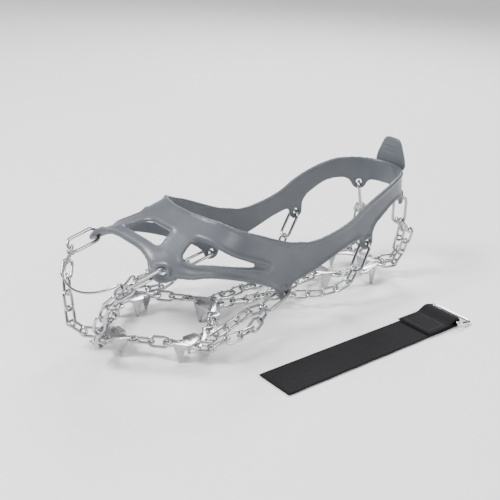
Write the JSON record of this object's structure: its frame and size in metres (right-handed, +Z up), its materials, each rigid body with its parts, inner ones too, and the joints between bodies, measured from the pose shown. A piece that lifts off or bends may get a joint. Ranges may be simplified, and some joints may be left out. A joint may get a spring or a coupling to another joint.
{
  "type": "shoe ice cleats",
  "caption": "Slip-on ice cleat for a boot: stretch rubber lattice harness holding spiked steel plates under the sole with oval-link chains, with a loose instep strap.",
  "frame": {"origin": "on the floor under the middle of the boot sole, where the spike tips touch; the base of the cleat", "axes": "+Y towards the heel, -Y towards the toe, +X towards the wearer's left, +Z up; the loose strap lies at +X"},
  "size_m": [0.189, 0.3137, 0.121],
  "materials": {
    "rubber": "satin moulded thermoplastic rubber",
    "plate_steel": "stamped stainless steel",
    "link_steel": "polished stainless wire",
    "webbing": "black loop-pile webbing",
    "ring_chrome": "nickel plated wire ring"
  },
  "bodies": {
    "harness": {"harness": "rubber"},
    "heel_pull_tab": {"heel_pull_tab": "rubber"},
    "spike_plate_front": {"spike_plate_front": "plate_steel"},
    "spike_plate_rear": {"spike_plate_rear": "plate_steel"},
    "spike_plate_left": {"spike_plate_left": "plate_steel"},
    "spike_plate_right": {"spike_plate_right": "plate_steel"},
    "heel_plate_front": {"heel_plate_front": "plate_steel"},
    "heel_plate_rear": {"heel_plate_rear": "plate_steel"},
    "toe_wire": {"toe_wire": "link_steel"},
    "toe_lug_link_left": {"toe_lug_link_left": "link_steel"},
    "forefoot_lug_link_left": {"forefoot_lug_link_left": "link_steel"},
    "midfoot_lug_link_left": {"midfoot_lug_link_left": "link_steel"},
    "heel_lug_link_left": {"heel_lug_link_left": "link_steel"},
    "toe_chain_link_1_left": {"toe_chain_link_1_left": "link_steel"},
    "toe_chain_link_2_left": {"toe_chain_link_2_left": "link_steel"},
    "toe_chain_link_3_left": {"toe_chain_link_3_left": "link_steel"},
    "toe_chain_link_4_left": {"toe_chain_link_4_left": "link_steel"},
    "toe_chain_link_5_left": {"toe_chain_link_5_left": "link_steel"},
    "toe_chain_link_6_left": {"toe_chain_link_6_left": "link_steel"},
    "toe_chain_link_7_left": {"toe_chain_link_7_left": "link_steel"},
    "side_chain_inner_left": {"side_chain_inner_left": "link_steel"},
    "side_chain_outer_left": {"side_chain_outer_left": "link_steel"},
    "sole_chain_left": {"sole_chain_left": "link_steel"},
    "waist_chain_left": {"waist_chain_left": "link_steel"},
    "heel_chain_inner_left": {"heel_chain_inner_left": "link_steel"},
    "heel_chain_outer_left": {"heel_chain_outer_left": "link_steel"},
    "ring_chain_front_left": {"ring_chain_front_left": "link_steel"},
    "ring_chain_rear_left": {"ring_chain_rear_left": "link_steel"},
    "heel_ring_chain_left": {"heel_ring_chain_left": "link_steel"},
    "toe_lug_link_right": {"toe_lug_link_right": "link_steel"},
    "forefoot_lug_link_right": {"forefoot_lug_link_right": "link_steel"},
    "midfoot_lug_link_right": {"midfoot_lug_link_right": "link_steel"},
    "heel_lug_link_right": {"heel_lug_link_right": "link_steel"},
    "toe_chain_link_1_right": {"toe_chain_link_1_right": "link_steel"},
    "toe_chain_link_2_right": {"toe_chain_link_2_right": "link_steel"},
    "toe_chain_link_3_right": {"toe_chain_link_3_right": "link_steel"},
    "toe_chain_link_4_right": {"toe_chain_link_4_right": "link_steel"},
    "toe_chain_link_5_right": {"toe_chain_link_5_right": "link_steel"},
    "toe_chain_link_6_right": {"toe_chain_link_6_right": "link_steel"},
    "toe_chain_link_7_right": {"toe_chain_link_7_right": "link_steel"},
    "side_chain_inner_right": {"side_chain_inner_right": "link_steel"},
    "side_chain_outer_right": {"side_chain_outer_right": "link_steel"},
    "sole_chain_right": {"sole_chain_right": "link_steel"},
    "waist_chain_right": {"waist_chain_right": "link_steel"},
    "heel_chain_inner_right": {"heel_chain_inner_right": "link_steel"},
    "heel_chain_outer_right": {"heel_chain_outer_right": "link_steel"},
    "ring_chain_front_right": {"ring_chain_front_right": "link_steel"},
    "ring_chain_rear_right": {"ring_chain_rear_right": "link_steel"},
    "heel_ring_chain_right": {"heel_ring_chain_right": "link_steel"},
    "strap": {"strap_band": "webbing"},
    "strap_ring": {"strap_ring": "ring_chrome"}
  },
  "joints": [
    {"name": "heel_pull_tab_joint", "type": "hinge", "parent": "harness", "child": "heel_pull_tab", "pos_m": [0, 0.1566, 0.1], "axis": [-1, 0, 0], "range_deg": [0, 60], "stiffness_Nm_per_rad": 0.05},
    {"name": "spike_plate_front_joint", "type": "hinge", "parent": "harness", "child": "spike_plate_front", "pos_m": [0, -0.117, 0.0139], "axis": [1, 0, 0], "range_deg": [-2, 2]},
    {"name": "spike_plate_rear_joint", "type": "hinge", "parent": "harness", "child": "spike_plate_rear", "pos_m": [0, -0.047, 0.0139], "axis": [1, 0, 0], "range_deg": [-2.5, 2.5]},
    {"name": "spike_plate_left_joint", "type": "hinge", "parent": "harness", "child": "spike_plate_left", "pos_m": [0.035, -0.082, 0.0139], "axis": [0, 1, 0], "range_deg": [-2.5, 2.5]},
    {"name": "spike_plate_right_joint", "type": "hinge", "parent": "harness", "child": "spike_plate_right", "pos_m": [-0.035, -0.082, 0.0139], "axis": [0, 1, 0], "range_deg": [-2.5, 2.5]},
    {"name": "heel_plate_front_joint", "type": "hinge", "parent": "harness", "child": "heel_plate_front", "pos_m": [0, 0.084, 0.0139], "axis": [1, 0, 0], "range_deg": [-2.5, 2.5]},
    {"name": "heel_plate_rear_joint", "type": "hinge", "parent": "harness", "child": "heel_plate_rear", "pos_m": [0, 0.108, 0.0139], "axis": [1, 0, 0], "range_deg": [0, 2]},
    {"name": "toe_wire_joint", "type": "hinge", "parent": "harness", "child": "toe_wire", "pos_m": [0, -0.13659, 0.06661], "axis": [1, 0, 0], "range_deg": [-6, 6]},
    {"name": "toe_lug_link_left_joint", "type": "hinge", "parent": "harness", "child": "toe_lug_link_left", "pos_m": [0.04234, -0.11035, 0.07424], "axis": [-0.0365, -0.9668, -0.253], "range_deg": [-3, 3]},
    {"name": "forefoot_lug_link_left_joint", "type": "hinge", "parent": "harness", "child": "forefoot_lug_link_left", "pos_m": [0.0469, -0.00317, 0.03299], "axis": [0.1325, -0.9494, -0.2849], "range_deg": [-3, 3]},
    {"name": "midfoot_lug_link_left_joint", "type": "hinge", "parent": "harness", "child": "midfoot_lug_link_left", "pos_m": [0.04344, 0.08602, 0.05301], "axis": [0.0352, -0.4419, -0.8964], "range_deg": [-3, 3]},
    {"name": "heel_lug_link_left_joint", "type": "hinge", "parent": "harness", "child": "heel_lug_link_left", "pos_m": [0.02482, 0.14382, 0.076], "axis": [-0.0799, 0.1485, -0.9857], "range_deg": [-3, 3]},
    {"name": "toe_chain_link_1_left_joint", "type": "hinge", "parent": "harness", "child": "toe_chain_link_1_left", "pos_m": [0.03754, -0.13629, 0.06413], "axis": [-0.5519, -0.5683, -0.6103], "range_deg": [-4, 4]},
    {"name": "toe_chain_link_2_left_joint", "type": "hinge", "parent": "harness", "child": "toe_chain_link_2_left", "pos_m": [0.0313, -0.1419, 0.05633], "axis": [-0.5378, -0.4383, -0.7202], "range_deg": [-6, 6]},
    {"name": "toe_chain_link_3_left_joint", "type": "hinge", "parent": "harness", "child": "toe_chain_link_3_left", "pos_m": [0.0263, -0.14514, 0.04699], "axis": [-0.3757, -0.156, -0.9135], "range_deg": [-6, 6]},
    {"name": "toe_chain_link_4_left_joint", "type": "hinge", "parent": "harness", "child": "toe_chain_link_4_left", "pos_m": [0.02241, -0.1464, 0.0364], "axis": [-0.2793, -0.0342, -0.9596], "range_deg": [-6, 6]},
    {"name": "toe_chain_link_5_left_joint", "type": "hinge", "parent": "harness", "child": "toe_chain_link_5_left", "pos_m": [0.01872, -0.14709, 0.02549], "axis": [-0.3614, -0.087, -0.9283], "range_deg": [-3, 3]},
    {"name": "toe_chain_link_6_left_joint", "type": "hinge", "parent": "harness", "child": "toe_chain_link_6_left", "pos_m": [0.01386, -0.14412, 0.01827], "axis": [-0.5849, 0.5889, -0.5577], "range_deg": [-3, 3]},
    {"name": "toe_chain_link_7_left_joint", "type": "hinge", "parent": "harness", "child": "toe_chain_link_7_left", "pos_m": [0.00826, -0.13709, 0.01465], "axis": [-0.5226, 0.8461, -0.1045], "range_deg": [-6, 6]},
    {"name": "side_chain_inner_left_joint", "type": "hinge", "parent": "harness", "child": "side_chain_inner_left", "pos_m": [0.04861, -0.05088, 0.02031], "axis": [0.0141, -0.9721, -0.2341], "range_deg": [-2, 2]},
    {"name": "side_chain_outer_left_joint", "type": "hinge", "parent": "harness", "child": "side_chain_outer_left", "pos_m": [0.0502, -0.05516, 0.02032], "axis": [-0.0375, -0.979, -0.2006], "range_deg": [-3, 3]},
    {"name": "sole_chain_left_joint", "type": "hinge", "parent": "harness", "child": "sole_chain_left", "pos_m": [0.00425, 0.0185, 0.0139], "axis": [-0.0049, 1, 0], "range_deg": [-3, 3]},
    {"name": "waist_chain_left_joint", "type": "hinge", "parent": "harness", "child": "waist_chain_left", "pos_m": [0.02743, 0.04165, 0.02258], "axis": [-0.4245, -0.8682, -0.2569], "range_deg": [-4, 4]},
    {"name": "heel_chain_inner_left_joint", "type": "hinge", "parent": "harness", "child": "heel_chain_inner_left", "pos_m": [0.01719, 0.1424, 0.03407], "axis": [-0.2274, -0.1681, -0.9592], "range_deg": [-1.5, 1.5]},
    {"name": "heel_chain_outer_left_joint", "type": "hinge", "parent": "harness", "child": "heel_chain_outer_left", "pos_m": [0.02229, 0.14096, 0.03415], "axis": [-0.087, -0.3374, -0.9373], "range_deg": [-1.5, 1.5]},
    {"name": "ring_chain_front_left_joint", "type": "hinge", "parent": "harness", "child": "ring_chain_front_left", "pos_m": [0.026, -0.108, 0.0139], "axis": [0.7071, 0.7071, 0], "range_deg": [-2.5, 2.5]},
    {"name": "ring_chain_rear_left_joint", "type": "hinge", "parent": "harness", "child": "ring_chain_rear_left", "pos_m": [0.026, -0.056, 0.0139], "axis": [0.7071, -0.7071, 0], "range_deg": [-2.5, 2.5]},
    {"name": "heel_ring_chain_left_joint", "type": "hinge", "parent": "harness", "child": "heel_ring_chain_left", "pos_m": [0.0185, 0.096, 0.0139], "axis": [0.28, 0.96, 0], "range_deg": [-2.5, 2.5]},
    {"name": "toe_lug_link_right_joint", "type": "hinge", "parent": "harness", "child": "toe_lug_link_right", "pos_m": [-0.04234, -0.11035, 0.07424], "axis": [0.0365, -0.9668, -0.253], "range_deg": [-3, 3]},
    {"name": "forefoot_lug_link_right_joint", "type": "hinge", "parent": "harness", "child": "forefoot_lug_link_right", "pos_m": [-0.0469, -0.00317, 0.03299], "axis": [-0.1325, -0.9494, -0.2849], "range_deg": [-3, 3]},
    {"name": "midfoot_lug_link_right_joint", "type": "hinge", "parent": "harness", "child": "midfoot_lug_link_right", "pos_m": [-0.04344, 0.08602, 0.05301], "axis": [-0.0352, -0.4419, -0.8964], "range_deg": [-3, 3]},
    {"name": "heel_lug_link_right_joint", "type": "hinge", "parent": "harness", "child": "heel_lug_link_right", "pos_m": [-0.02482, 0.14382, 0.076], "axis": [0.0799, 0.1485, -0.9857], "range_deg": [-3, 3]},
    {"name": "toe_chain_link_1_right_joint", "type": "hinge", "parent": "harness", "child": "toe_chain_link_1_right", "pos_m": [-0.03754, -0.13629, 0.06413], "axis": [0.5519, -0.5683, -0.6103], "range_deg": [-4, 4]},
    {"name": "toe_chain_link_2_right_joint", "type": "hinge", "parent": "harness", "child": "toe_chain_link_2_right", "pos_m": [-0.0313, -0.1419, 0.05633], "axis": [0.5378, -0.4383, -0.7202], "range_deg": [-6, 6]},
    {"name": "toe_chain_link_3_right_joint", "type": "hinge", "parent": "harness", "child": "toe_chain_link_3_right", "pos_m": [-0.0263, -0.14514, 0.04699], "axis": [0.3757, -0.156, -0.9135], "range_deg": [-6, 6]},
    {"name": "toe_chain_link_4_right_joint", "type": "hinge", "parent": "harness", "child": "toe_chain_link_4_right", "pos_m": [-0.02241, -0.1464, 0.0364], "axis": [0.2793, -0.0342, -0.9596], "range_deg": [-6, 6]},
    {"name": "toe_chain_link_5_right_joint", "type": "hinge", "parent": "harness", "child": "toe_chain_link_5_right", "pos_m": [-0.01872, -0.14709, 0.02549], "axis": [0.3614, -0.087, -0.9283], "range_deg": [-3, 3]},
    {"name": "toe_chain_link_6_right_joint", "type": "hinge", "parent": "harness", "child": "toe_chain_link_6_right", "pos_m": [-0.01386, -0.14412, 0.01827], "axis": [0.5849, 0.5889, -0.5577], "range_deg": [-3, 3]},
    {"name": "toe_chain_link_7_right_joint", "type": "hinge", "parent": "harness", "child": "toe_chain_link_7_right", "pos_m": [-0.00826, -0.13709, 0.01465], "axis": [0.5226, 0.8461, -0.1045], "range_deg": [-6, 6]},
    {"name": "side_chain_inner_right_joint", "type": "hinge", "parent": "harness", "child": "side_chain_inner_right", "pos_m": [-0.04861, -0.05088, 0.02031], "axis": [-0.0141, -0.9721, -0.2341], "range_deg": [-2, 2]},
    {"name": "side_chain_outer_right_joint", "type": "hinge", "parent": "harness", "child": "side_chain_outer_right", "pos_m": [-0.0502, -0.05516, 0.02032], "axis": [0.0375, -0.979, -0.2006], "range_deg": [-3, 3]},
    {"name": "sole_chain_right_joint", "type": "hinge", "parent": "harness", "child": "sole_chain_right", "pos_m": [-0.00425, 0.0185, 0.0139], "axis": [0.0049, 1, 0], "range_deg": [-3, 3]},
    {"name": "waist_chain_right_joint", "type": "hinge", "parent": "harness", "child": "waist_chain_right", "pos_m": [-0.02743, 0.04165, 0.02258], "axis": [0.4245, -0.8682, -0.2569], "range_deg": [-4, 4]},
    {"name": "heel_chain_inner_right_joint", "type": "hinge", "parent": "harness", "child": "heel_chain_inner_right", "pos_m": [-0.01719, 0.1424, 0.03407], "axis": [0.2274, -0.1681, -0.9592], "range_deg": [-1.5, 1.5]},
    {"name": "heel_chain_outer_right_joint", "type": "hinge", "parent": "harness", "child": "heel_chain_outer_right", "pos_m": [-0.02229, 0.14096, 0.03415], "axis": [0.087, -0.3374, -0.9373], "range_deg": [-1.5, 1.5]},
    {"name": "ring_chain_front_right_joint", "type": "hinge", "parent": "harness", "child": "ring_chain_front_right", "pos_m": [-0.026, -0.108, 0.0139], "axis": [-0.7071, 0.7071, 0], "range_deg": [-2.5, 2.5]},
    {"name": "ring_chain_rear_right_joint", "type": "hinge", "parent": "harness", "child": "ring_chain_rear_right", "pos_m": [-0.026, -0.056, 0.0139], "axis": [-0.7071, -0.7071, 0], "range_deg": [-2.5, 2.5]},
    {"name": "heel_ring_chain_right_joint", "type": "hinge", "parent": "harness", "child": "heel_ring_chain_right", "pos_m": [-0.0185, 0.096, 0.0139], "axis": [-0.28, 0.96, 0], "range_deg": [-2.5, 2.5]},
    {"name": "strap_lift", "type": "slide", "parent": "harness", "child": "strap", "axis": [0, 0, 1], "range_m": [0, 0.15]},
    {"name": "strap_ring_joint", "type": "hinge", "parent": "strap", "child": "strap_ring", "pos_m": [0.104, 0.116, 0.0041], "axis": [1, 0, 0], "range_deg": [0, 100]}
  ]
}
